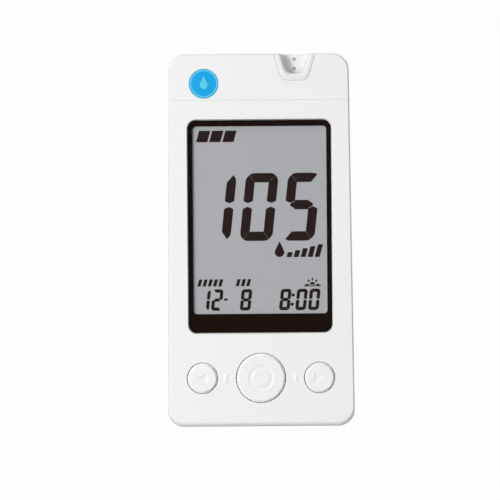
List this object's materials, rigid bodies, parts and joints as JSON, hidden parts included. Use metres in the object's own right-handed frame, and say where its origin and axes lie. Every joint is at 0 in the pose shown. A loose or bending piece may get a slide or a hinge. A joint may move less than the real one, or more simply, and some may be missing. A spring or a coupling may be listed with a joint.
{
  "type": "blood glucose meter",
  "caption": "Handheld blood glucose meter with a large framed display, round front keys, a test strip port and a sliding battery door.",
  "frame": {"origin": "centre of the outline on the flat back face, which the meter lies on", "axes": "+X to the right as the display is read, +Y towards the strip port end, +Z out of the display"},
  "size_m": [0.049, 0.0976, 0.021],
  "materials": {
    "case_white": "fine satin moulded ABS",
    "key_white": "fine satin moulded ABS",
    "guide_white": "smooth moulded ABS",
    "badge_blue": "glossy print",
    "lens_clear": "polished clear acrylic",
    "border_black": "black print under the lens",
    "tape_grey": "adhesive tape",
    "film_clear": "smooth film",
    "pane_glass": "float glass",
    "reflector_grey": "metallised film",
    "holder_white": "moulded polycarbonate",
    "elastomer_pink": "silicone with carbon layers",
    "board_green": "solder mask on glass epoxy",
    "screw_steel": "zinc plated steel",
    "chip_black": "moulded epoxy",
    "can_metal": "drawn nickel silver",
    "part_tan": "sintered ceramic",
    "connector_dark": "glass filled nylon",
    "plunger_black": "moulded nylon",
    "contact_gold": "gold plated bronze",
    "cell_sleeve": "plain printed sleeve",
    "contact_nickel": "nickel plated spring steel"
  },
  "bodies": {
    "case": {"front_cover": "case_white", "port_cap": "case_white", "rear_cover": "case_white", "badge_disc": "badge_blue", "strip_guide": "guide_white", "guide_pins": "contact_gold", "display_lens": "lens_clear", "lens_border": "border_black", "lens_tape": "tape_grey", "lcd_front_polariser": "film_clear", "lcd_front_glass": "pane_glass", "lcd_rear_glass": "pane_glass", "lcd_reflector": "reflector_grey", "lcd_holder": "holder_white", "lcd_connector": "elastomer_pink", "main_board": "board_green", "board_screws": "screw_steel", "controller_chip": "chip_black", "clock_crystal": "can_metal", "board_parts": "part_tan", "buzzer": "chip_black", "strip_connector": "connector_dark", "strip_contacts": "contact_gold", "key_switches": "connector_dark", "battery_left": "cell_sleeve", "battery_right": "cell_sleeve", "battery_springs": "contact_nickel", "series_plate": "contact_nickel", "terminal_plates": "contact_nickel", "case_screws": "screw_steel"},
    "left_key": {"button_left": "key_white", "plunger_left": "plunger_black"},
    "main_key": {"button_main": "key_white", "plunger_main": "plunger_black"},
    "right_key": {"button_right": "key_white", "plunger_right": "plunger_black"},
    "door": {"battery_door": "case_white"}
  },
  "joints": [
    {"name": "left_key_press", "type": "slide", "parent": "case", "child": "left_key", "axis": [0, 0, -1], "range_m": [0, 0.0003], "stiffness_N_per_m": 3000, "springref_m": -0.0002},
    {"name": "main_key_press", "type": "slide", "parent": "case", "child": "main_key", "axis": [0, 0, -1], "range_m": [0, 0.0003], "stiffness_N_per_m": 3000, "springref_m": -0.0002},
    {"name": "right_key_press", "type": "slide", "parent": "case", "child": "right_key", "axis": [0, 0, -1], "range_m": [0, 0.0003], "stiffness_N_per_m": 3000, "springref_m": -0.0002},
    {"name": "battery_door_slide", "type": "slide", "parent": "case", "child": "door", "axis": [0, -1, 0], "range_m": [0, 0.056]}
  ]
}
